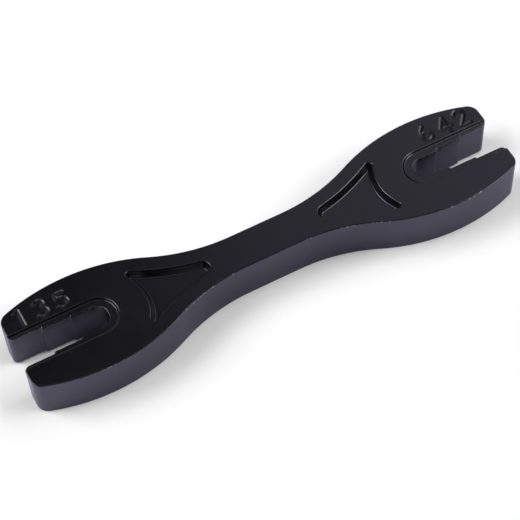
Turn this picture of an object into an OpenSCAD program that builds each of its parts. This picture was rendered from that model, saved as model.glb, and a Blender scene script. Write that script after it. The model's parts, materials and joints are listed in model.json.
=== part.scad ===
// Double-ended spoke wrench: one solid steel bar with a stepped jaw slot in each head.
// X runs from head to head, Z is up through the thickness, and the underside lies on Z = 0.
// The outline, the reliefs round the slots and the pockets are all true arcs that meet tangentially.
// The left head has the odd jaws 1, 3 and 5, and the right head the even jaws 2, 4 and 6.

/* [Bar] */
// Length over both heads
length = 105; // [100:1:110]
// Thickness between the two flat faces
thickness = 9.4; // [8:0.1:11]
// Width across the middle of the shank
shank_w = 7.9; // [7:0.1:9]
// Length of the straight stretch in the middle of the shank
shank_straight = 11; // [6:0.5:14]
// Radius of the hollow side arcs of the waist
waist_r = 38.5; // [36:0.5:42]
// Width across the widest place of a head
head_w = 22.3; // [21:0.1:24]
// Radius of the bulging side arcs of a head
head_r = 38.5; // [36:0.5:42]
// Radius in plan of the outer corner of each prong
prong_corner_r = 2.4; // [1.5:0.1:3]

/* [Jaws] */
// Width across the flats of jaw 1, at the mouth of the left head
jaw_1_w = 6.6; // [6.4:0.05:7.2]
// Width across the flats of jaw 2, at the mouth of the right head
jaw_2_w = 6.3; // [5.9:0.05:6.8]
// Width across the flats of jaw 3, in the middle of the left head
jaw_3_w = 5.7; // [5.4:0.05:6.3]
// Width across the flats of jaw 4, in the middle of the right head
jaw_4_w = 5.5; // [5:0.05:5.8]
// Width across the flats of jaw 5, at the bottom of the left head's slot
jaw_5_w = 5; // [4.6:0.05:5.3]
// Width across the flats of jaw 6, at the bottom of the right head's slot
jaw_6_w = 4.4; // [4:0.05:4.9]
// Length of the mouth jaw, along the slot
mouth_jaw_len = 6.5; // [6:0.1:7.5]
// Length of the middle jaw, along the slot
middle_jaw_len = 5.8; // [5:0.1:6.5]
// Length of the bottom jaw, along the slot and with its bevelled end
bottom_jaw_len = 6.6; // [5.5:0.1:7.2]
// Bevel at the two corners of the slot's bottom
slot_bevel = 1.3; // [0.6:0.1:1.8]
// Radius in plan of the corner where each prong meets the mouth
mouth_corner_r = 1.2; // [1.1:0.1:1.5]

/* [Relief round each slot] */
// Depth of the relief below the flat face
relief_depth = 0.4; // [0.3:0.1:1.2]
// Width across the top of the relief
relief_w = 8.4; // [7.8:0.1:9]
// Distance in plan that the relief's wall slopes over
relief_slope = 0.35; // [0.1:0.05:0.4]
// Distance from the mouth to the centre of the relief's round end
relief_centre_depth = 16.8; // [16:0.1:18]

/* [Pockets] */
// Depth of the three-sided pockets below the flat face
pocket_depth = 1.5; // [0.5:0.1:2.5]
// Distance in plan that a pocket's wall slopes over
pocket_slope = 0.65; // [0.4:0.05:0.75]
// Flat border left between a pocket and the waist's side arc
pocket_border = 3.1; // [2.8:0.1:3.4]
// Distance from the bar's middle to the blunt end of a pocket
pocket_start = 12; // [11.5:0.5:15]
// Flat border left between a pocket and the round end of the relief
pocket_land = 5.9; // [5:0.1:7]
// Radius in plan of a pocket's two corners beside the head
pocket_corner_r = 0.8; // [0.78:0.01:1.4]

/* [Hidden] */
$fn = 180;
steel_black = "#262629";
// How far a cut runs past the face that it opens
overrun = 0.5;
// How far a rounded corner bulges past the walls that it blends, so that they cross and don't just touch
blend_bulge = 0.02;
tip_x = length / 2;
// Centre of the waist's upper right side arc
waist_c = [shank_straight / 2, shank_w / 2 + waist_r];
// The head's side arc touches the waist's from outside, which gives the place of its centre
head_drop = waist_r + head_r - (head_w - shank_w) / 2;
head_c = [waist_c.x + sqrt(pow(waist_r + head_r, 2) - pow(head_drop, 2)), head_w / 2 - head_r];
// Point where the hollow arc turns into the bulging one
turn_p = waist_c + (head_c - waist_c) * waist_r / (waist_r + head_r);
// Centre of the prong's outer corner, which touches the head's arc from inside and the tip line
prong_corner_x = tip_x - prong_corner_r;
prong_corner_rise = sqrt(pow(head_r - prong_corner_r, 2) - pow(prong_corner_x - head_c.x, 2));
prong_corner_c = [prong_corner_x, head_c.y + prong_corner_rise];
relief_c = [tip_x - relief_centre_depth, 0];
// Radii of the pocket's long and short rims, each round the centre of what it runs along
pocket_long_r = waist_r + pocket_border;
pocket_short_r = relief_w / 2 + pocket_land;
// Radius of the blunt end, which touches both long rims
pocket_run = pocket_start - waist_c.x;
pocket_end_excess = pow(pocket_run, 2) + pow(waist_c.y, 2) - pow(pocket_long_r, 2);
pocket_end_r = pocket_end_excess / (2 * (pocket_long_r - pocket_run));
pocket_end_c = [pocket_start + pocket_end_r, 0];
pocket_corner_c = touching_centre(waist_c, pocket_long_r + pocket_corner_r,
                                  relief_c, pocket_short_r + pocket_corner_r);

// Point at the distance far from p, on the way from p to q
function towards(p, q, far) = p + (q - p) * far / norm(q - p);

// Point that lies at the distance rp from p and rq from q, on the left of the way from p to q
function touching_centre(p, rp, q, rq) =
    let (gap = norm(q - p), along = (gap * gap + rp * rp - rq * rq) / (2 * gap),
         across = sqrt(rp * rp - along * along), u = (q - p) / gap)
    p + u * along - [-u.y, u.x] * across;

module both_sides() {
    children();
    mirror([0, 1, 0]) children();
}

module both_ends() {
    children();
    mirror([1, 0, 0]) children();
}

// A cut made from the top face downwards is repeated from the underside
module both_faces() {
    children();
    translate([0, 0, thickness]) mirror([0, 0, 1]) children();
}

// Outline of the waist, up to the points where the side arcs turn
module waist_outline() {
    difference() {
        square([2 * turn_p.x, 2 * turn_p.y], center = true);
        both_sides() {
            both_ends() translate(waist_c) circle(waist_r);
            translate([-waist_c.x, shank_w / 2]) square([2 * waist_c.x, waist_r]);
        }
    }
}

// Outline of the end of the right head: a straight tip between two rounded prong corners
module tip_outline() {
    corner_touch = towards(head_c, prong_corner_c, head_r);
    translate([turn_p.x - overrun, -head_w / 2]) square([corner_touch.x - turn_p.x + overrun, head_w]);
    translate([turn_p.x, -prong_corner_c.y]) square([tip_x - turn_p.x, 2 * prong_corner_c.y]);
    both_sides() translate(prong_corner_c) circle(prong_corner_r);
}

// Outline of the right head, where two bulging side arcs run on from the waist to the tip
module head_outline() {
    intersection() {
        translate([head_c.x, head_c.y]) circle(head_r);
        translate([head_c.x, -head_c.y]) circle(head_r);
        tip_outline();
    }
}

// The slot seen from above, for the right head, with jaw widths listed from the mouth inwards
module jaw_slot(widths) {
    lengths = [mouth_jaw_len, middle_jaw_len, bottom_jaw_len];
    middle_x = tip_x - mouth_jaw_len;
    bottom_x = middle_x - middle_jaw_len;
    end_x = bottom_x - bottom_jaw_len;
    half = widths / 2;
    translate([middle_x, -half[0]]) square([mouth_jaw_len + overrun, widths[0]]);
    translate([bottom_x, -half[1]]) square([middle_jaw_len + overrun, widths[1]]);
    polygon([[bottom_x + overrun, half[2]], [end_x + slot_bevel, half[2]], [end_x, half[2] - slot_bevel],
             [end_x, slot_bevel - half[2]], [end_x + slot_bevel, -half[2]], [bottom_x + overrun, -half[2]]]);
    mouth_x = tip_x - mouth_corner_r;
    mouth_half = half[0] + mouth_corner_r;
    difference() {
        translate([mouth_x, -mouth_half]) square([mouth_corner_r + overrun, 2 * mouth_half]);
        both_sides() translate([mouth_x, mouth_half]) circle(mouth_corner_r);
    }
}

// Shallow relief round the slot: sloping walls along it and a cone round its bottom
module slot_relief() {
    floor_z = thickness - relief_depth;
    rim = relief_w / 2;
    foot = rim - relief_slope;
    translate([relief_c.x, 0, 0]) rotate([90, 0, 90]) linear_extrude(relief_centre_depth + overrun)
        polygon([[-foot, floor_z], [foot, floor_z], [rim, thickness], [rim, thickness + overrun],
                 [-rim, thickness + overrun], [-rim, thickness]]);
    translate([relief_c.x, 0, floor_z]) {
        cylinder(h = relief_depth, r1 = foot, r2 = rim);
        translate([0, 0, relief_depth]) cylinder(h = overrun, r = rim);
    }
}

// Cone that widens or narrows by the pocket's slope from the face down to the pocket's floor
module pocket_cone(face_r, floor_r) {
    cylinder(h = pocket_depth, r1 = floor_r, r2 = face_r);
    translate([0, 0, pocket_depth]) cylinder(h = overrun, r = face_r);
}

// Rounded corner of a pocket, a hair larger than the circle that just touches both walls
module pocket_round(touching_r) {
    pocket_cone(touching_r + blend_bulge, touching_r + blend_bulge - pocket_slope);
}

// Three-sided pocket: its long rims follow the waist's sides and its short rim the slot's round end
module pocket() {
    end_touch = towards(waist_c, pocket_end_c, pocket_long_r);
    long_touch = towards(waist_c, pocket_corner_c, pocket_long_r);
    short_touch = towards(relief_c, pocket_corner_c, pocket_short_r);
    upper = [end_touch, long_touch, pocket_corner_c, short_touch];
    lower = [for (i = [len(upper) - 1 : -1 : 0]) [upper[i].x, -upper[i].y]];
    translate([0, 0, thickness - pocket_depth]) {
        difference() {
            linear_extrude(pocket_depth + overrun) polygon(concat([pocket_end_c], upper, lower));
            both_sides() translate(waist_c) pocket_cone(pocket_long_r, pocket_long_r + pocket_slope);
            translate(relief_c) pocket_cone(pocket_short_r, pocket_short_r + pocket_slope);
        }
        translate(pocket_end_c) pocket_round(pocket_end_r);
        both_sides() translate(pocket_corner_c) pocket_round(pocket_corner_r);
    }
}

module wrench_body() {
    color(steel_black) difference() {
        linear_extrude(thickness) union() {
            waist_outline();
            both_ends() head_outline();
        }
        translate([0, 0, -overrun]) linear_extrude(thickness + 2 * overrun) {
            mirror([1, 0, 0]) jaw_slot([jaw_1_w, jaw_3_w, jaw_5_w]);
            jaw_slot([jaw_2_w, jaw_4_w, jaw_6_w]);
        }
        both_faces() both_ends() {
            slot_relief();
            pocket();
        }
    }
}

wrench_body();
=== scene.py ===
# %% [markdown]
# # A double-ended spoke wrench
# This wrench is one solid bar of steel, 105 mm long. Each head has a slot in three steps, and
# each step is a jaw for one size of spoke nipple. Nothing on it moves, so the lesson is about
# form and finish: soft edges, shallow recesses, stamped digits and a black coating that shows
# them all by the way it catches the light.
#
# The imported CAD model has every size right, but its edges are sharp. We load it first, read its
# sizes from its box, and then build a finer body in the same place.

# %% Load the imported model
import json
import math

import bpy
import numpy as np
from mathutils import Matrix, Vector
from mathutils.geometry import delaunay_2d_cdt

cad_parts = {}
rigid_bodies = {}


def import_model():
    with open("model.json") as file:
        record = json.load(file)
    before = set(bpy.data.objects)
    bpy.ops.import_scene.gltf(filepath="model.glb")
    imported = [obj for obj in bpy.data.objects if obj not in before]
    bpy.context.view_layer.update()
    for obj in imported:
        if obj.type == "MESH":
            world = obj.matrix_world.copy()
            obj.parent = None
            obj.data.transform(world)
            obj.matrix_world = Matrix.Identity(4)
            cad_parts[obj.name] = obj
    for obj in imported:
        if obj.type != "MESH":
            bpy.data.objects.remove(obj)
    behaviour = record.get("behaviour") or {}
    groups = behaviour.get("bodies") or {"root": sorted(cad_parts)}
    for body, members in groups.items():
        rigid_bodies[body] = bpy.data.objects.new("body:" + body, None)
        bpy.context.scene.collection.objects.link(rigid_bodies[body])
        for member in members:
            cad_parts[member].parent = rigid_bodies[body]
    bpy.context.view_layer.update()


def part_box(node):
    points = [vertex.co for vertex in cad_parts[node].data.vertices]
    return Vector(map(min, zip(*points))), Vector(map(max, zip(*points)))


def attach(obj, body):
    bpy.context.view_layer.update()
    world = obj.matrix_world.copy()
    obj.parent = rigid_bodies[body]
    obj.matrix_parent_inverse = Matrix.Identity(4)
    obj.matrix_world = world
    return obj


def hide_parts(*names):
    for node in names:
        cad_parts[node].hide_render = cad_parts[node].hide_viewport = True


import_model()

# %% [markdown]
# ## Sizes
# We draw in millimetres and turn them into metres at the end, because Blender's unit is the
# metre. The overall sizes are read from the imported model's box. The others are the sizes that a
# toolmaker would put on the drawing of this wrench.

# %% Sizes of the wrench, in millimetres
MM = 0.001

low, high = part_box("wrench_body")
length = (high.x - low.x) / MM
head_w = (high.y - low.y) / MM
thickness = (high.z - low.z) / MM
tip_x = length / 2

# The outline's widths, arcs and corners
shank_w = 7.9
shank_straight = 11.0
waist_r = 38.5
head_r = 38.5
prong_corner_r = 2.4
mouth_corner_r = 1.2

# The jaws, from the mouth inwards
left_jaws = (6.6, 5.7, 5.0)
right_jaws = (6.3, 5.5, 4.4)
jaw_lengths = (6.5, 5.8, 6.6)
slot_bevel = 1.3

# The relief round each slot
relief_depth = 0.4
relief_w = 8.4
relief_slope = 0.35
relief_centre_depth = 16.8

# The three-sided pockets
pocket_depth = 1.5
pocket_slope = 0.65
pocket_border = 3.1
pocket_start = 12.0
pocket_land = 5.9
pocket_corner_r = 0.8

print(f"length {length:.2f}, head {head_w:.2f}, thickness {thickness:.2f}")

# %% [markdown]
# ## Arcs and corners
# The outline is made only of arcs and straight lines, as it would be on a drawing. Two helpers
# are enough: one gives points along an arc, and one walks through the corners of a line and
# rounds each of them. The gap between points is small, so that the light runs smoothly along an
# edge.

# %% Points along an arc
POINT_GAP = 0.4
ARC_STEP = math.radians(11)


def unit(v):
    """The vector v at length 1."""
    return v / np.linalg.norm(v)


def direction(v):
    """The direction of v in degrees."""
    return math.degrees(math.atan2(v[1], v[0]))


def arc(centre, radius, start, end):
    """Points along an arc, from start to end in degrees."""
    span = math.radians(abs(end - start))
    steps = max(math.ceil(span * radius / POINT_GAP), math.ceil(span / ARC_STEP), 1)
    turn = np.radians(np.linspace(start, end, steps + 1))
    return np.asarray(centre) + radius * np.stack([np.cos(turn), np.sin(turn)], axis=1)


print("a full circle with a radius of 1 mm:", len(arc((0, 0), 1, 0, 360)), "points")

# %% Rounded corners, and points with even gaps
NEARLY = 1e-6


def rounded(corners, radii):
    """Points along a line through corners, whose inner corners are rounded by the radii."""
    corners = [np.array(corner, float) for corner in corners]
    points = [corners[:1]]
    for before, corner, after, radius in zip(corners, corners[1:], corners[2:], radii):
        back, on = unit(before - corner), unit(after - corner)
        half = math.acos(back @ on) / 2
        centre = corner + unit(back + on) * radius / math.sin(half)
        reach = radius / math.tan(half)
        start = direction(corner + back * reach - centre)
        turn = (direction(corner + on * reach - centre) - start + 180) % 360 - 180
        points.append(arc(centre, radius, start, start + turn))
    return np.concatenate(points + [corners[-1:]])


def dense(points, gap=POINT_GAP):
    """The same line with no doubled point and no stretch longer than gap."""
    parts = [points[:1]]
    for a, b in zip(points, points[1:]):
        steps = math.ceil(np.linalg.norm(b - a) / gap - NEARLY)
        if steps > 0:
            share = np.linspace(0, 1, steps + 1)[1:, None]
            parts.append(a + (b - a) * share)
    return np.concatenate(parts)


print("a line of 10 mm:", len(dense(np.array([[0.0, 0.0], [10.0, 0.0]]))), "points")

# %% [markdown]
# ## The outline
# A quarter of the outline runs from the middle of the shank along a hollow arc, a bulging arc and
# the prong's corner to the tip, and then down the steps of the slot to its bottom. The hollow and
# the bulging arc touch, and that gives the place of the second centre, as in the CAD model.
# Mirrored four times, with the odd jaws on the left and the even ones on the right, it closes. It
# could be drawn by hand as a curve, but points worked out from the sizes are exact.

# %% Centres of the side arcs and of the prong's corner
waist_c = np.array([shank_straight / 2, shank_w / 2 + waist_r])
head_drop = waist_r + head_r - (head_w - shank_w) / 2
head_c = waist_c + [math.sqrt((waist_r + head_r) ** 2 - head_drop ** 2), -head_drop]
prong_x = tip_x - prong_corner_r
prong_rise = math.sqrt((head_r - prong_corner_r) ** 2 - (prong_x - head_c[0]) ** 2)
prong_c = np.array([prong_x, head_c[1] + prong_rise])
print("waist's centre", waist_c.round(2), "head's", head_c.round(2), "corner's", prong_c.round(2))

# %% Build the outline
step_round = 0.3
bevel_round = 2.0
STEP_SHARE = 0.45    # the most of a step's height that its two rounds may take each


def quarter(jaws):
    """The upper right quarter of the outline, from the shank's middle to the slot's bottom."""
    turn = direction(head_c - waist_c)
    corner_turn = direction(prong_c - head_c)
    side = [arc(waist_c, waist_r, -90, turn),
            arc(head_c, head_r, turn + 180, corner_turn),
            arc(prong_c, prong_corner_r, corner_turn, 0)]
    mouth, middle, bottom = (width / 2 for width in jaws)
    middle_x = tip_x - jaw_lengths[0]
    bottom_x = middle_x - jaw_lengths[1]
    end_x = bottom_x - jaw_lengths[2]
    first_round = min(step_round, STEP_SHARE * (mouth - middle))
    second_round = min(step_round, STEP_SHARE * (middle - bottom))
    slot = rounded(
        [(tip_x, prong_c[1]), (tip_x, mouth), (middle_x, mouth), (middle_x, middle),
         (bottom_x, middle), (bottom_x, bottom), (end_x + slot_bevel, bottom),
         (end_x, bottom - slot_bevel), (end_x, 0)],
        [mouth_corner_r, first_round, first_round, second_round, second_round,
         bevel_round, bevel_round])
    return dense(np.concatenate([[(0, shank_w / 2)]] + side + [slot]))


right, left = quarter(right_jaws), quarter(left_jaws)
outline = np.concatenate([right, right[::-1] * (1, -1), left * (-1, -1), left[::-1] * (-1, 1)])
outline = dense(outline)[:-1][::-1]
print("outline:", len(outline), "points")

# %% [markdown]
# ## The recesses and the digits
# Each recess is told by a core: a line or a small area at its bottom. The depth of a point
# depends only on how far it lies from the core, so the wall slopes evenly and its corners come
# out round. The recesses could be cut with Booleans instead, but those leave sharp rims and long
# thin triangles. The relief's core is the middle line of the slot, and a pocket's core is the
# pocket drawn in by nearly the radius of its corners. A digit's core is the line that an
# engraver's cutter would follow.

# %% Centres of the relief's and the pocket's arcs
relief_c = np.array([tip_x - relief_centre_depth, 0])
pocket_long_r = waist_r + pocket_border
pocket_short_r = relief_w / 2 + pocket_land
pocket_run = pocket_start - waist_c[0]
pocket_end_excess = pocket_run ** 2 + waist_c[1] ** 2 - pocket_long_r ** 2
pocket_end_r = pocket_end_excess / (2 * (pocket_long_r - pocket_run))
pocket_end_c = np.array([pocket_start + pocket_end_r, 0])


def touching_centre(p, p_far, q, q_far):
    """The point below the way from p to q that is p_far from p and q_far from q."""
    gap = np.linalg.norm(q - p)
    along = (gap ** 2 + p_far ** 2 - q_far ** 2) / (2 * gap)
    across = math.sqrt(p_far ** 2 - along ** 2)
    u = (q - p) / gap
    return p + u * along + np.array([u[1], -u[0]]) * across


pocket_corner_c = touching_centre(waist_c, pocket_long_r + pocket_corner_r,
                                  relief_c, pocket_short_r + pocket_corner_r)
print("pocket's corner at", pocket_corner_c.round(2), "and end at", pocket_end_c.round(2))

# %% The pocket's ring, and the cores
CORE_CORNER = 0.05    # radius that is left at the corners of a pocket's core
PAST_TIP = 1.0        # how far the relief's core runs past the tip
both_ends = (np.array([1, 1]), np.array([-1, 1]))


def pocket_ring(inset):
    """The right pocket's rim, drawn in by inset: its short side, long sides, corners and end."""
    end_turn = direction(pocket_end_c - waist_c)
    long_turn = direction(pocket_corner_c - waist_c)
    short_turn = direction(pocket_corner_c - relief_c)
    half = np.concatenate([
        arc(relief_c, pocket_short_r + inset, 180, short_turn),
        arc(pocket_corner_c, pocket_corner_r - inset, short_turn - 180, long_turn + 180),
        arc(waist_c, pocket_long_r + inset, long_turn, end_turn),
        arc(pocket_end_c, pocket_end_r - inset, end_turn + 180, 180)])
    return dense(np.concatenate([half, half[::-1] * (1, -1)]))[:-1]


core_inset = pocket_corner_r - CORE_CORNER
core_ring = pocket_ring(core_inset)
relief_line = dense(np.array([relief_c, [tip_x + PAST_TIP, 0]]))
print("cores:", len(core_ring), "points for a pocket,", len(relief_line), "for a relief")

# %% [markdown]
# ## The jaw numbers
# The jaws are numbered 1 to 6 beside the slots. Such digits are stamped or cast in with
# round-ended strokes, so each one is the path that a cutter would take, in millimetres from the
# digit's lower left corner. A font could write them, but its strokes end flat and sharp. They are
# plain numerals, and their places and sizes are what matters for the look.

# %% Paths of the six digits
digit_h = 4.1
digits = {
    1: [(0, 3.45), (0.95, digit_h), (0.95, 0)],
    2: np.concatenate([arc((1.05, 3.0), 1.1, 175, -38), [(0.05, 0.05), (2.3, 0.05)]]),
    3: np.concatenate([arc((1.2, 3.15), 0.95, 165, -75), arc((1.25, 1.12), 1.12, 80, -150)]),
    4: [(2.7, 1.25), (0, 1.25), (1.9, digit_h), (1.9, 0)],
    5: np.concatenate([[(2.2, 3.65), (0.6, 3.65)], arc((1.2, 1.25), 1.2, 135, -145)]),
    6: np.concatenate([arc((3.6, 1.15), 3.5, 130, 180), arc((1.2, 1.15), 1.1, 180, 540)]),
}
digit_corners = {
    1: (-49.4, 4.8), 3: (-45.6, 4.85), 5: (-41.45, 4.95),
    6: (39.15, 5.05), 4: (43.3, 4.95), 2: (47.5, 4.9),
}
digit_size = 0.95
STROKE_GAP = 0.16    # finer than the other lines, because the strokes bend more
strokes = [dense(np.array(path) * digit_size + digit_corners[digit], STROKE_GAP)
           for digit, path in digits.items()]
print("digit strokes:", [len(stroke) for stroke in strokes])

# %% [markdown]
# ## A sheet whose edges follow the form
# A soft edge looks clean only where rows of vertices run along it. So we lay rings beside the
# outline, round each recess and round each stroke, close together where the surface bends.
# Blender's constrained triangulation then joins all of them into one flat sheet, and a loose grid
# keeps the triangles on the flat stretches from getting long and thin. A Bevel modifier could
# round the edges of a plainer mesh, but its faces pinch where small steps lie close together.

# %% How far a point lies from a line
CHUNK = 500    # points that are measured at a time, to save memory


def distances(points, line, closed):
    """How far each point lies from the line."""
    ends = np.roll(line, -1, axis=0) if closed else line[1:]
    starts = line if closed else line[:-1]
    along = ends - starts
    squares = (along ** 2).sum(1)
    far = np.empty(len(points))
    for first in range(0, len(points), CHUNK):
        part = points[first:first + CHUNK, None] - starts
        share = np.clip((part * along).sum(2) / squares, 0, 1)
        gap = part - share[..., None] * along
        far[first:first + CHUNK] = np.sqrt((gap ** 2).sum(2)).min(1)
    return far


print("from the middle to the shank's side:", distances(np.zeros((1, 2)), outline, True), "mm")

# %% Rings beside a line and around it
RING_TOLERANCE = 0.012    # how much nearer to the line than asked a ring's point may lie
rings = []


def left_of(line, distance, closed):
    """The line moved to its left by distance."""
    if closed:
        along = np.roll(line, -1, axis=0) - np.roll(line, 1, axis=0)
    else:
        along = np.gradient(line, axis=0)
    along /= np.linalg.norm(along, axis=1)[:, None]
    return line + distance * along[:, ::-1] * (-1, 1)


def keep_ring(points, line, distance, closed):
    """Adds a ring, without the points that come too near to another stretch of the line."""
    points = points[distances(points, line, closed) > distance - RING_TOLERANCE]
    if len(points) > 2:
        rings.append(points)


def around(line, distance):
    """A ring round an open line, with a half circle at each end."""
    start, end = direction(line[0] - line[1]), direction(line[-1] - line[-2])
    sides = left_of(line, distance, False), left_of(line[::-1], distance, False)
    caps = (arc(line[-1], distance, end + 90, end - 90),
            arc(line[0], distance, start + 90, start - 90))
    return np.concatenate([sides[0], caps[0][1:-1], sides[1], caps[1][1:-1]])


print("a ring at 0.1 mm round the first digit:", len(around(strokes[0], 0.1)), "points")

# %% Lay the rings
edge_round = 0.2
relief_reach = relief_w / 2
EDGE_TURNS = range(15, 91, 15)                        # turns of the rounded edge, in degrees
FLAT_ROWS = (0.04, 0.4)                               # inwards from the rounded edge
RELIEF_ROWS = np.arange(-0.65, 0.4, 0.07)             # from inside the relief's rim out past it
POCKET_ROWS = np.arange(core_inset, -0.45, -0.08)     # from the pocket's core out past its rim
POCKET_FLOOR_ROWS = np.arange(0.08, 0.5, 0.08)        # inwards from the edge of the core
DIGIT_ROWS = np.arange(0.06, 0.62, 0.07)              # outwards from a digit's stroke

for turn in EDGE_TURNS:
    inset = edge_round * (1 - math.cos(math.radians(turn)))
    keep_ring(left_of(outline, inset, True), outline, inset, True)
for row in FLAT_ROWS:
    keep_ring(left_of(outline, edge_round + row, True), outline, edge_round + row, True)

for side in both_ends:
    line = relief_line * side
    for row in RELIEF_ROWS:
        keep_ring(around(line, relief_reach + row), line, relief_reach + row, False)
    rings += [pocket_ring(row) * side for row in POCKET_ROWS]
    for row in POCKET_FLOOR_ROWS:
        keep_ring(left_of(core_ring, row, True) * side, core_ring * side, row, True)

for stroke in strokes:
    rings.append(stroke)
    for row in DIGIT_ROWS:
        keep_ring(around(stroke, row), stroke, row, False)
print("rings:", len(rings), "with", sum(len(ring) for ring in rings), "points")

# %% A loose grid for the flat stretches
GRID_GAP = 1.3
GRID_CLEAR = 0.9    # the least share of a gap between a grid's point and the rings

grid = np.stack(np.meshgrid(np.arange(-tip_x, tip_x, GRID_GAP),
                            np.arange(-head_w / 2, head_w / 2, GRID_GAP)), axis=-1).reshape(-1, 2)
all_rings = np.concatenate(rings)
near = np.array([np.abs(all_rings - point).sum(1).min() for point in grid])
grid = grid[near > GRID_CLEAR * GRID_GAP]
print("grid:", len(grid), "points")

# %% Join the rings into one flat sheet
EPSILON = 1e-4
INSIDE_ONLY = 1    # the triangulation's kind of result that leaves out what lies outside


def loop_edges(first, count, closed=True):
    """Pairs of neighbours among count points that start at index first."""
    last = count if closed else count - 1
    return [(first + i, first + (i + 1) % count) for i in range(last)]


def triangulated(points, edges, ring_size):
    """Points and triangles inside the ring of the first ring_size points, along all the edges."""
    flat = [Vector(point) for point in points]
    found = delaunay_2d_cdt(flat, edges, [list(range(ring_size))], INSIDE_ONLY, EPSILON)
    faces = [tuple(face) for face, source in zip(found[2], found[5]) if source]
    return np.array([tuple(point) for point in found[0]]), faces


points, edges = [outline], []
count = len(outline)
for ring in rings:
    is_stroke = any(ring is stroke for stroke in strokes)
    edges += loop_edges(count, len(ring), not is_stroke)
    points.append(ring)
    count += len(ring)
points.append(grid)
found_points, found_faces = triangulated(np.concatenate(points), edges, len(outline))
used = sorted({i for face in found_faces for i in face})
new_index = {old: new for new, old in enumerate(used)}
sheet_points = found_points[used]
sheet_faces = [tuple(new_index[i] for i in face) for face in found_faces]
print("sheet:", len(sheet_points), "points and", len(sheet_faces), "triangles")

# %% [markdown]
# ## Sink the sheet by distance with Geometry Nodes
# The height of the face follows one rule: how far is this point from the outline, and how far
# from the nearest core? Geometry Nodes answer that with Geometry Proximity, and a few sums turn
# each distance into a depth. The same small group serves the reliefs, the pockets and the digits,
# with other sizes. Its Smooth Maximum and Smooth Minimum round the rim and the foot of the wall.
# Python could move the points as well, but a tree with named inputs can go over the same sheet
# twice, with the digits and without them.
#
# A pocket's core is an area, and inside it the distance has to go on below zero, so that the foot
# of the wall ends softly. Twice the distance to the area, less the distance to its edge, does
# that.

# %% A function that adds a node, and the group for a recess's wall


def add(tree, kind, *inputs, named=(), **settings):
    """Adds a node. Its inputs, in order or by name, take a node, a socket or a plain value."""
    node = tree.nodes.new(kind)
    for name, value in settings.items():
        setattr(node, name, value)
    given = list(enumerate(inputs)) + list(dict(named).items())
    for key, source in given:
        if isinstance(source, bpy.types.Node):
            source = source.outputs[0]
        if isinstance(source, bpy.types.NodeSocket):
            tree.links.new(source, node.inputs[key])
        else:
            node.inputs[key].default_value = source
    return node


def new_tree(name, inputs, outputs):
    """A new Geometry Nodes tree with its inputs and outputs, and the sockets of its inputs."""
    tree = bpy.data.node_groups.new(name, "GeometryNodeTree")
    for label, kind in inputs.items():
        tree.interface.new_socket(label, in_out="INPUT", socket_type="NodeSocket" + kind)
    for label, kind in outputs.items():
        tree.interface.new_socket(label, in_out="OUTPUT", socket_type="NodeSocket" + kind)
    return tree, add(tree, "NodeGroupInput").outputs


wall, given = new_tree(
    "Depth of a recess",
    {"Distance": "Float", "Rim": "Float", "Slope": "Float", "Depth": "Float", "Soften": "Float"},
    {"Depth": "Float"})
inside = add(wall, "ShaderNodeMath", given["Rim"], given["Distance"], operation="SUBTRACT")
share = add(wall, "ShaderNodeMath", inside, given["Slope"], operation="DIVIDE")
ramp = add(wall, "ShaderNodeMath", share, given["Depth"], operation="MULTIPLY")
rim = add(wall, "ShaderNodeMath", ramp, 0.0, given["Soften"], operation="SMOOTH_MAX")
foot = add(wall, "ShaderNodeMath", rim, given["Depth"], given["Soften"], operation="SMOOTH_MIN")
add(wall, "NodeGroupOutput", foot)
print("group:", wall.name, "with", len(wall.nodes), "nodes")

# %% The inputs of the tree that sinks the sheet
sizes_in = {
    "Edge Round": "Float",
    "Relief Rim": "Float", "Relief Slope": "Float", "Relief Depth": "Float",
    "Relief Soften": "Float",
    "Pocket Rim": "Float", "Pocket Slope": "Float", "Pocket Depth": "Float",
    "Pocket Soften": "Float",
    "Digit Rim": "Float", "Digit Slope": "Float", "Digit Depth": "Float",
    "Digit Soften": "Float",
}
cores_in = {"Outline": "Object", "Relief": "Object", "Pocket Area": "Object",
            "Pocket Line": "Object", "Digit": "Object", "Coating": "Material"}
sinker, given = new_tree("Sink by distance", {"Sheet": "Geometry", **cores_in, **sizes_in},
                         {"Face": "Geometry"})


def gap_to(core, target):
    """The distance from each point to a core object's edges or faces."""
    held = add(sinker, "GeometryNodeObjectInfo", named={"Object": given[core]})
    near_core = add(sinker, "GeometryNodeProximity", held.outputs["Geometry"],
                    target_element=target)
    return near_core.outputs["Distance"]


print("inputs:", len(sizes_in), "sizes,", len(cores_in) - 1, "cores and a material")

# %% The drop of the rounded edge
edge_gap = gap_to("Outline", "EDGES")
short = add(sinker, "ShaderNodeMath", given["Edge Round"], edge_gap, operation="SUBTRACT")
short = add(sinker, "ShaderNodeMath", short, 0.0, operation="MAXIMUM")
short_square = add(sinker, "ShaderNodeMath", short, 2.0, operation="POWER")
round_square = add(sinker, "ShaderNodeMath", given["Edge Round"], 2.0, operation="POWER")
height = add(sinker, "ShaderNodeMath", round_square, short_square, operation="SUBTRACT")
height = add(sinker, "ShaderNodeMath", height, 0.0, operation="MAXIMUM")
height = add(sinker, "ShaderNodeMath", height, 0.5, operation="POWER")
drop = add(sinker, "ShaderNodeMath", given["Edge Round"], height, operation="SUBTRACT")
print("the edge's quarter circle takes", len(sinker.nodes), "nodes")

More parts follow.
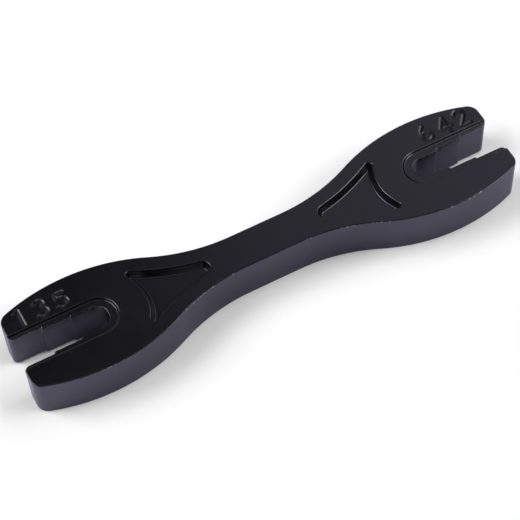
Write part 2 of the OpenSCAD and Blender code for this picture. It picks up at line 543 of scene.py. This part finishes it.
# %% The drops of the recesses, and the sunk sheet
twice = add(sinker, "ShaderNodeMath", gap_to("Pocket Area", "FACES"), 2.0, operation="MULTIPLY")
pocket_gap = add(sinker, "ShaderNodeMath", twice, gap_to("Pocket Line", "EDGES"),
                 operation="SUBTRACT")
core_gaps = {"Relief": gap_to("Relief", "EDGES"), "Pocket": pocket_gap,
             "Digit": gap_to("Digit", "EDGES")}
for name, gap in core_gaps.items():
    depth = add(sinker, "GeometryNodeGroup", node_tree=wall, named={
        "Distance": gap, "Rim": given[name + " Rim"], "Slope": given[name + " Slope"],
        "Depth": given[name + " Depth"], "Soften": given[name + " Soften"]})
    drop = add(sinker, "ShaderNodeMath", drop, depth, operation="ADD")
down = add(sinker, "ShaderNodeMath", drop, -1.0, operation="MULTIPLY")
offset = add(sinker, "ShaderNodeCombineXYZ", named={"Z": down})
noted = add(sinker, "GeometryNodeStoreNamedAttribute", given["Sheet"], data_type="FLOAT",
            domain="POINT", named={"Name": "edge_gap", "Value": edge_gap})
moved = add(sinker, "GeometryNodeSetPosition", noted, named={"Offset": offset})
real = add(sinker, "GeometryNodeRealizeInstances", moved)
coated = add(sinker, "GeometryNodeSetMaterial", real, named={"Material": given["Coating"]})
add(sinker, "NodeGroupOutput", coated)
print("tree:", sinker.name, "with", len(sinker.nodes), "nodes")

# %% [markdown]
# ## The black coating
# The real finish is a black epoxy coating on steel, put on by dipping and baked. It hides the
# grain of the steel, and it lies a little uneven, like the skin of an orange. To the eye it is
# nearly black where it reflects nothing, and a soft grey along each rounded edge. Where the tool
# has been knocked, tiny chips along the edges show bright steel. We paint them where the distance
# to the outline, which the sheet keeps as an attribute, is small and a noise pattern is high. A
# painted image could do the same, but patterns on Object coordinates need no file and stay sharp
# from any side.

# %% The coating's colours and pattern sizes
COATING_BLACK = "#08080a"
COATING_THIN = "#0e0e10"
COATING_SHEEN = "#f6f3ff"
CHIP_STEEL = "#aaa7a3"
COATING_IOR = 1.58
ROUGH_FROM, ROUGH_TO = 0.22, 0.27     # satin, and a little duller in clouds
peel_mm = 0.9                         # width of the skin's dimples
grit_mm = 0.16                        # grain in the skin, drawn as coarse as it needs to show
skin_mm = 0.02                        # height of the skin's bumps
GRIT_WEIGHT = 0.25
BUMP_STRENGTH = 0.35
cloud_mm = 12.0                       # width of the clouds of tone and gloss
NOISE_LOW, NOISE_HIGH = 0.3, 0.7      # what most of a noise pattern lies between
chip_mm = 0.42                        # width of a chip
chip_reach_mm = 0.3                   # how far from an edge a chip may lie
CHIP_EDGE_SHARE = 0.25                # the share of that reach that is worn the most
worn_mm = 9.0                         # length of the stretches with more and with fewer chips
WORN_WEIGHT = 0.5
CHIP_FROM, CHIP_TO = 0.855, 0.915     # the chance at which the steel starts to show, and is bare


def colour(sheet_hex):
    """An sRGB hex colour as linear red, green, blue and alpha."""
    parts = [int(sheet_hex[i:i + 2], 16) / 255 for i in (1, 3, 5)]
    return [p / 12.92 if p <= 0.04045 else ((p + 0.055) / 1.055) ** 2.4 for p in parts] + [1]


def per_metre(size_mm):
    """The scale that makes a noise pattern's grains about size_mm across, in metre coordinates."""
    return 1 / (size_mm * MM)


print("the coating's black in linear light:", [round(c, 4) for c in colour(COATING_BLACK)])

# %% The coating's nodes


def new_material(name):
    """A new material with no nodes, and its tree."""
    material = bpy.data.materials.new(name)
    material.use_nodes = True
    material.node_tree.nodes.clear()
    return material, material.node_tree


def black_epoxy_coating():
    """Black epoxy coating on forged steel, with chips where edge_gap is small."""
    material, tree = new_material("black epoxy coating on forged steel")
    place = add(tree, "ShaderNodeTexCoord").outputs["Object"]
    peel = add(tree, "ShaderNodeTexNoise", place,
               named={"Scale": per_metre(peel_mm), "Detail": 2.0, "Roughness": 0.5})
    grit = add(tree, "ShaderNodeTexNoise", place,
               named={"Scale": per_metre(grit_mm), "Detail": 1.0, "Roughness": 0.5})
    cloud = add(tree, "ShaderNodeTexNoise", place,
                named={"Scale": per_metre(cloud_mm), "Detail": 3.0, "Roughness": 0.55})
    tone = add(tree, "ShaderNodeMix", data_type="RGBA", named={
        0: cloud, 6: colour(COATING_BLACK), 7: colour(COATING_THIN)})
    rough = add(tree, "ShaderNodeMapRange", cloud, named={
        "From Min": NOISE_LOW, "From Max": NOISE_HIGH, "To Min": ROUGH_FROM, "To Max": ROUGH_TO})
    gap = add(tree, "ShaderNodeAttribute", attribute_name="edge_gap").outputs["Fac"]
    near_edge = add(tree, "ShaderNodeMapRange", gap, named={
        "From Min": CHIP_EDGE_SHARE * chip_reach_mm * MM, "From Max": chip_reach_mm * MM,
        "To Min": 1.0, "To Max": 0.0})
    flecks = add(tree, "ShaderNodeTexNoise", place,
                 named={"Scale": per_metre(chip_mm), "Detail": 2.0, "Roughness": 0.6})
    worn = add(tree, "ShaderNodeTexNoise", place,
               named={"Scale": per_metre(worn_mm), "Detail": 1.0, "Roughness": 0.5})
    chance = add(tree, "ShaderNodeMath", flecks, near_edge, operation="MULTIPLY")
    chance = add(tree, "ShaderNodeMath", worn, WORN_WEIGHT, chance, operation="MULTIPLY_ADD")
    chip = add(tree, "ShaderNodeMapRange", chance, named={
        "From Min": CHIP_FROM, "From Max": CHIP_TO, "To Min": 0.0, "To Max": 1.0})
    skin = add(tree, "ShaderNodeMix", data_type="RGBA", named={
        0: chip, 6: tone.outputs[2], 7: colour(CHIP_STEEL)})
    bumps = add(tree, "ShaderNodeMath", grit, GRIT_WEIGHT, peel, operation="MULTIPLY_ADD")
    bump = add(tree, "ShaderNodeBump", named={
        "Strength": BUMP_STRENGTH, "Distance": skin_mm * MM, "Height": bumps})
    shader = add(tree, "ShaderNodeBsdfPrincipled", named={
        "Base Color": skin.outputs[2], "Metallic": chip, "Roughness": rough,
        "Normal": bump, "IOR": COATING_IOR, "Specular Tint": colour(COATING_SHEEN)})
    add(tree, "ShaderNodeOutputMaterial", shader)
    return material


coating = black_epoxy_coating()
print("material:", coating.name)

# %% [markdown]
# ## From sheet to solid
# The sheet lies at the height of the top face, and the modifier sinks it. We take the result out
# as a plain mesh, once with the digits and once without them for the underside. The underside is
# then turned over, and a wall with a few rows joins the two rims all round. A Solidify modifier
# would be quicker, but the underside would show the top's digits, turned inwards.

# %% Core objects and the sheet object


def flat_object(name, points_mm, edges, faces):
    """An object in metres at the top face's height, from flat points in millimetres."""
    mesh = bpy.data.meshes.new(name)
    mesh.from_pydata([(x * MM, y * MM, thickness * MM) for x, y in points_mm], edges, faces)
    mesh.update()
    made = bpy.data.objects.new(name, mesh)
    bpy.context.scene.collection.objects.link(made)
    return made


def lines_object(name, lines, closed):
    """One object that holds several lines."""
    edges, start = [], 0
    for line in lines:
        edges += loop_edges(start, len(line), closed)
        start += len(line)
    return flat_object(name, np.concatenate(lines), edges, [])


area_points, area_faces = triangulated(core_ring, [], len(core_ring))
other_faces = [tuple(i + len(area_points) for i in face) for face in area_faces]
both_areas = np.concatenate([area_points * side for side in both_ends])
cores = {
    "Outline": lines_object("outline_core", [outline], True),
    "Relief": lines_object("relief_core", [relief_line * side for side in both_ends], False),
    "Digit": lines_object("digit_core", strokes, False),
    "Pocket Line": lines_object("pocket_line", [core_ring * side for side in both_ends], True),
    "Pocket Area": flat_object("pocket_area", both_areas, [], area_faces + other_faces),
}
sheet = flat_object("sheet", sheet_points, [], sheet_faces)
print("cores:", {name: len(core.data.vertices) for name, core in cores.items()})

# %% Sink the sheet for the top face and for the underside
RELIEF_SOFTEN = 0.18    # how softly a wall's rim and foot are blended, in millimetres of depth
POCKET_SOFTEN = 0.6
DIGIT_SOFTEN = 0.1
digit_rim = 0.44        # how far from the middle of its stroke a digit's wall begins
digit_slope = 0.36      # the distance that it slopes over
digit_depth = 0.13


def sunk_face(digit_share):
    """The sheet as the modifier leaves it, as a plain mesh, with 1 or 0 of the digits' depth."""
    modifier = sheet.modifiers.new("Sink", "NODES")
    modifier.node_group = sinker
    values_mm = {
        "Edge Round": edge_round,
        "Relief Rim": relief_reach, "Relief Slope": relief_slope,
        "Relief Depth": relief_depth, "Relief Soften": RELIEF_SOFTEN,
        "Pocket Rim": core_inset, "Pocket Slope": pocket_slope,
        "Pocket Depth": pocket_depth, "Pocket Soften": POCKET_SOFTEN,
        "Digit Rim": digit_rim, "Digit Slope": digit_slope,
        "Digit Depth": digit_depth * digit_share, "Digit Soften": DIGIT_SOFTEN * digit_share,
    }
    values = {**cores, "Coating": coating, **{n: v * MM for n, v in values_mm.items()}}
    for item in sinker.interface.items_tree:
        if item.in_out == "INPUT" and item.name in values:
            modifier[item.identifier] = values[item.name]
    sheet.update_tag()
    graph = bpy.context.evaluated_depsgraph_get()
    graph.update()
    mesh = bpy.data.meshes.new_from_object(sheet.evaluated_get(graph))
    sheet.modifiers.remove(modifier)
    return mesh


def heights(mesh):
    """Each vertex's height in millimetres."""
    return np.array([vertex.co.z for vertex in mesh.vertices]) / MM


top_mesh, under_mesh = sunk_face(1), sunk_face(0)
edge_gaps = np.array([item.value for item in top_mesh.attributes["edge_gap"].data]) / MM
top_z = heights(top_mesh)
under_z = thickness - heights(under_mesh)
print("lowest point of the top face:", top_z.min().round(3), "of", thickness)

# %% Find the rim of the sheet


def rim_edges(faces):
    """The edges that only one face has, in that face's direction."""
    sides = {(face[i - 1], face[i]) for face in faces for i in range(len(face))}
    return [(a, b) for a, b in sides if (b, a) not in sides]


rim_pairs = sorted(rim_edges(sheet_faces))
rim_points = sorted({a for a, b in rim_pairs})
print("rim:", len(rim_pairs), "edges")

# %% Rows of the wall, and how far each of their points lies from an edge
ROW_DROPS = (0.06, 1.2)    # the wall's rows, below one face and above the other
count = len(sheet_points)
levels = [top_z[rim_points] - drop for drop in ROW_DROPS]
levels += [under_z[rim_points] + drop for drop in reversed(ROW_DROPS)]
places = [np.column_stack([sheet_points, top_z]), np.column_stack([sheet_points, under_z])]
gaps = [edge_gaps, edge_gaps]
for level in levels:
    places.append(np.column_stack([sheet_points[rim_points], level]))
    gaps.append(np.minimum(top_z[rim_points] - level, level - under_z[rim_points]))
print("rows between the faces:", len(levels))

# %% Join the two faces with the wall
row_of = {point: i for i, point in enumerate(rim_points)}
rows = [{p: p for p in rim_points}]
rows += [{p: 2 * count + k * len(rim_points) + row_of[p] for p in rim_points}
         for k in range(len(levels))]
rows.append({p: p + count for p in rim_points})
faces = sheet_faces + [tuple(i + count for i in reversed(face)) for face in sheet_faces]
for upper, lower in zip(rows, rows[1:]):
    faces += [(upper[b], upper[a], lower[a], lower[b]) for a, b in rim_pairs]
print("faces:", len(faces))

# %% Make the body
body_mesh = bpy.data.meshes.new("spoke_wrench_body")
body_mesh.from_pydata((np.concatenate(places) * MM).tolist(), [], faces)
body_mesh.polygons.foreach_set("use_smooth", [True] * len(faces))
noted_gap = body_mesh.attributes.new("edge_gap", "FLOAT", "POINT")
noted_gap.data.foreach_set("value", np.concatenate(gaps) * MM)
body_mesh.materials.append(coating)
body_mesh.update()
body = bpy.data.objects.new("spoke_wrench_body", body_mesh)
bpy.context.scene.collection.objects.link(body)
for helper in [sheet, *cores.values()]:
    bpy.data.objects.remove(helper)
print("body:", len(body_mesh.vertices), "vertices,", len(faces), "faces")

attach(body, "root")
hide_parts("wrench_body")

# %% [markdown]
# ## The camera
# The photograph looks down on the wrench from the front left with a long lens, which keeps both
# heads nearly the same size. The lens is given in pixels, as it comes out when known points of
# the wrench are matched to the picture, and its millimetres follow from the sensor's width. The
# camera could be set by hand, but worked out in this way it stands where the photographer stood.

# %% Place the camera
IMAGE_SIDE = 520
FOCAL_PIXELS = 1715.0
SENSOR_MM = 36.0
azimuth, elevation, roll = (math.radians(a) for a in (-25.36, 56.08, -3.33))
camera_far = 339.5                  # in millimetres, as the point that it aims at
aim = Vector((-0.38, 1.90, 0.0))

back = Vector((math.sin(azimuth) * math.cos(elevation),
               -math.cos(azimuth) * math.cos(elevation), math.sin(elevation)))
side_way = (-back).cross(Vector((0, 0, 1))).normalized()
up_way = side_way.cross(-back)
right_way = math.cos(roll) * side_way + math.sin(roll) * up_way
top_way = -math.sin(roll) * side_way + math.cos(roll) * up_way
camera = bpy.data.objects.new("camera", bpy.data.cameras.new("camera"))
camera.data.sensor_width = SENSOR_MM
camera.data.lens = FOCAL_PIXELS / IMAGE_SIDE * SENSOR_MM
camera.data.clip_start = 0.01
turned = Matrix((right_way, top_way, back)).transposed().to_4x4()
camera.matrix_world = Matrix.Translation((aim + camera_far * back) * MM) @ turned
bpy.context.scene.collection.objects.link(camera)
bpy.context.scene.camera = camera
print("camera at", [round(c, 4) for c in camera.location])

# %% [markdown]
# ## The paper and the room
# The wrench lies on matt white paper in a dark studio. Its black sides mirror the paper, and its
# top mirrors the dark room, so a white world would spoil it. The world's white and a small lift
# of the paper are for the camera alone. To every other ray the paper is violet, so the violet on
# the wrench's sides is a painted reflection.

# %% The paper
PAPER_WHITE = "#f1f1f1"
# violet paper colour for every ray but the camera's: a painted violet reflection on the wrench's
# sides
PAPER_PAINTED_REFLECTION = "#e7e4ff"
LAMP_WHITE = "#ffffff"
PAPER_LIFT = 0.06
FLOOR_HALF = 3.0


def white_paper():
    """Matt white studio paper, seen plain white but violet in what mirrors it: a painted
    reflection.
    """
    material, tree = new_material("matt white studio paper")
    seen = add(tree, "ShaderNodeLightPath").outputs["Is Camera Ray"]
    # the camera sees the white, and everything else sees the violet of the painted reflection
    tone = add(tree, "ShaderNodeMix", data_type="RGBA", named={
        0: seen, 6: colour(PAPER_PAINTED_REFLECTION), 7: colour(PAPER_WHITE)})
    paper = add(tree, "ShaderNodeBsdfDiffuse", tone.outputs[2])
    lift = add(tree, "ShaderNodeMath", seen, PAPER_LIFT, operation="MULTIPLY")
    glow = add(tree, "ShaderNodeEmission", colour(LAMP_WHITE), lift)
    both = add(tree, "ShaderNodeAddShader", paper, glow)
    add(tree, "ShaderNodeOutputMaterial", both)
    return material


floor_mesh = bpy.data.meshes.new("floor")
corners = [(x * FLOOR_HALF, y * FLOOR_HALF, 0) for x, y in ((-1, -1), (1, -1), (1, 1), (-1, 1))]
floor_mesh.from_pydata(corners, [], [(0, 1, 2, 3)])
floor_mesh.materials.append(white_paper())
floor = bpy.data.objects.new("floor", floor_mesh)
bpy.context.scene.collection.objects.link(floor)
print("paper:", 2 * FLOOR_HALF, "m wide")

# %% The room
world = bpy.data.worlds.new("studio")
bpy.context.scene.world = world
world.use_nodes = True
room = world.node_tree
room.nodes.clear()
seen = add(room, "ShaderNodeLightPath").outputs["Is Camera Ray"]
sky = add(room, "ShaderNodeBackground", colour(LAMP_WHITE), seen)
add(room, "ShaderNodeOutputWorld", sky)
print("world:", world.name, "with", len(room.nodes), "nodes")

# %% [markdown]
# ## The lamps
# A black coating shows its form only by what it mirrors, so each lamp has a job. The softbox at
# the back left draws the pockets' far walls and rims. Those at the left and the right light the
# paper that the sides mirror, and the one overhead brings out the digits. A weak violet glow at
# the back right lies near the place that the top face mirrors, and makes it brighter towards the
# right. A low backdrop keeps the near rims of the recesses from going black. A panorama of a
# studio could light the scene instead, but its lamps couldn't be moved one by one.

# %% The lamps
GLOW_VIOLET = "#ede8ff"


def soft_lamp(name, turn, rise, far_m, size_m, radiance, tint=LAMP_WHITE):
    """A rectangular area lamp turned to the wrench, with the same light all over.

    It stands turn degrees clockwise from the back, rise degrees above the paper, at far_m metres.
    With a radiance of 1 the lamp itself would look white.
    """
    turn, rise = math.radians(turn), math.radians(rise)
    place = Vector((math.sin(turn) * math.cos(rise), math.cos(turn) * math.cos(rise),
                    math.sin(rise))) * far_m
    lamp = bpy.data.lights.new(name, "AREA")
    lamp.shape = "RECTANGLE"
    lamp.size, lamp.size_y = size_m
    lamp.energy = radiance * math.pi * size_m[0] * size_m[1]
    lamp.color = colour(tint)[:3]
    made = bpy.data.objects.new(name, lamp)
    made.location = place
    made.rotation_euler = (-place).to_track_quat("-Z", "Y").to_euler()
    bpy.context.scene.collection.objects.link(made)


lamps = {
    "left_softbox": (-90, 45, 1.0, (0.4, 0.4), 2.8),
    "back_left_softbox": (-57, 47, 1.0, (0.5, 0.5), 8.2),
    "high_right_softbox": (95, 53, 1.0, (0.35, 0.35), 6.0),
    "right_softbox": (74, 40, 1.0, (0.4, 0.4), 1.9),
    "front_right_softbox": (122, 43, 1.0, (0.4, 0.4), 7.4),
    "overhead_softbox": (0, 90, 0.95, (0.25, 0.25), 2.0),
    "back_right_glow": (40, 50, 1.0, (0.4, 0.4), 0.64, GLOW_VIOLET),
    "low_backdrop": (5.2, 12.8, 1.13, (1.6, 0.45), 0.65),
}
for name, values in lamps.items():
    soft_lamp(name, *values)
print("lamps:", len(lamps))

# %% [markdown]
# ## Finish
# The view is kept plain, so that a colour comes out as it is written.

# %% Finish
bpy.context.scene.view_settings.view_transform = "Standard"
